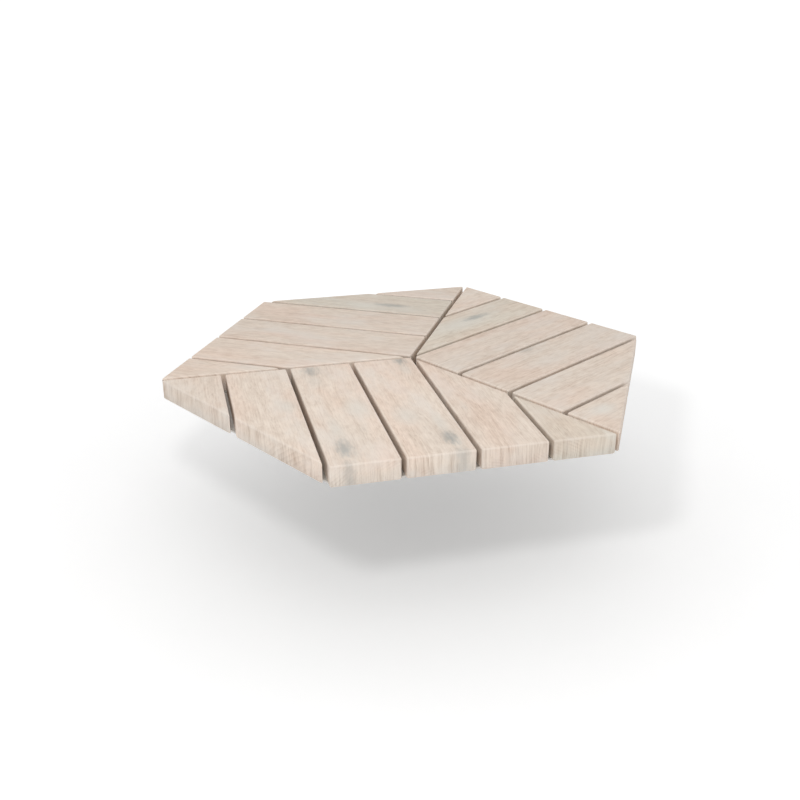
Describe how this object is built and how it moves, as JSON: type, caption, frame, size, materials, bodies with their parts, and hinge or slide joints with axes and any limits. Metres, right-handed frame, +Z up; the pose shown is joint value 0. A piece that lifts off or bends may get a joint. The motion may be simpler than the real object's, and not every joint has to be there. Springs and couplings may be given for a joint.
{
  "type": "hexagonal bench",
  "caption": "Hexagonal slatted bench seat: three rhombic bays of oak boards laid as a pinwheel on a concealed steel frame with a central flange for a pedestal or plinth.",
  "frame": {"origin": "centre of the hexagon, on the lower face of the hub plate, which is the plane that the seat rests on", "axes": "+Z up; +X to the corner at the right end of the seat, -Y to the front side that faces the viewer in the picture"},
  "size_m": [1.1771, 1.022, 0.098],
  "materials": {
    "oak": "whitewashed oak, brushed and matt oiled, with a few grey knots",
    "plate_steel": "matt off-white powder coat",
    "frame_steel": "matt dark grey powder coat",
    "fastener_steel": "stainless, satin",
    "insert_steel": "yellowish zinc plate",
    "pad_rubber": "matt black rubber",
    "cap_plastic": "fine grained black plastic"
  },
  "bodies": {
    "root": {"front_board_1": "oak", "front_board_2": "oak", "front_board_3": "oak", "front_board_4": "oak", "front_board_5": "oak", "front_board_6": "oak", "right_board_1": "oak", "right_board_2": "oak", "right_board_3": "oak", "right_board_4": "oak", "right_board_5": "oak", "right_board_6": "oak", "left_board_1": "oak", "left_board_2": "oak", "left_board_3": "oak", "left_board_4": "oak", "left_board_5": "oak", "left_board_6": "oak", "front_bay_plate": "plate_steel", "right_bay_plate": "plate_steel", "left_bay_plate": "plate_steel", "front_board_screws": "fastener_steel", "right_board_screws": "fastener_steel", "left_board_screws": "fastener_steel", "right_arm": "frame_steel", "back_right_arm": "frame_steel", "back_left_arm": "frame_steel", "left_arm": "frame_steel", "front_left_arm": "frame_steel", "front_right_arm": "frame_steel", "right_bearing_pad": "pad_rubber", "back_right_bearing_pad": "pad_rubber", "back_left_bearing_pad": "pad_rubber", "left_bearing_pad": "pad_rubber", "front_left_bearing_pad": "pad_rubber", "front_right_bearing_pad": "pad_rubber", "threaded_inserts": "insert_steel", "bay_bolts": "fastener_steel", "bay_bolt_washers": "fastener_steel", "arm_end_caps": "cap_plastic", "hub_plate": "frame_steel", "hub_screws": "fastener_steel", "rivet_nuts": "insert_steel"}
  },
  "joints": []
}
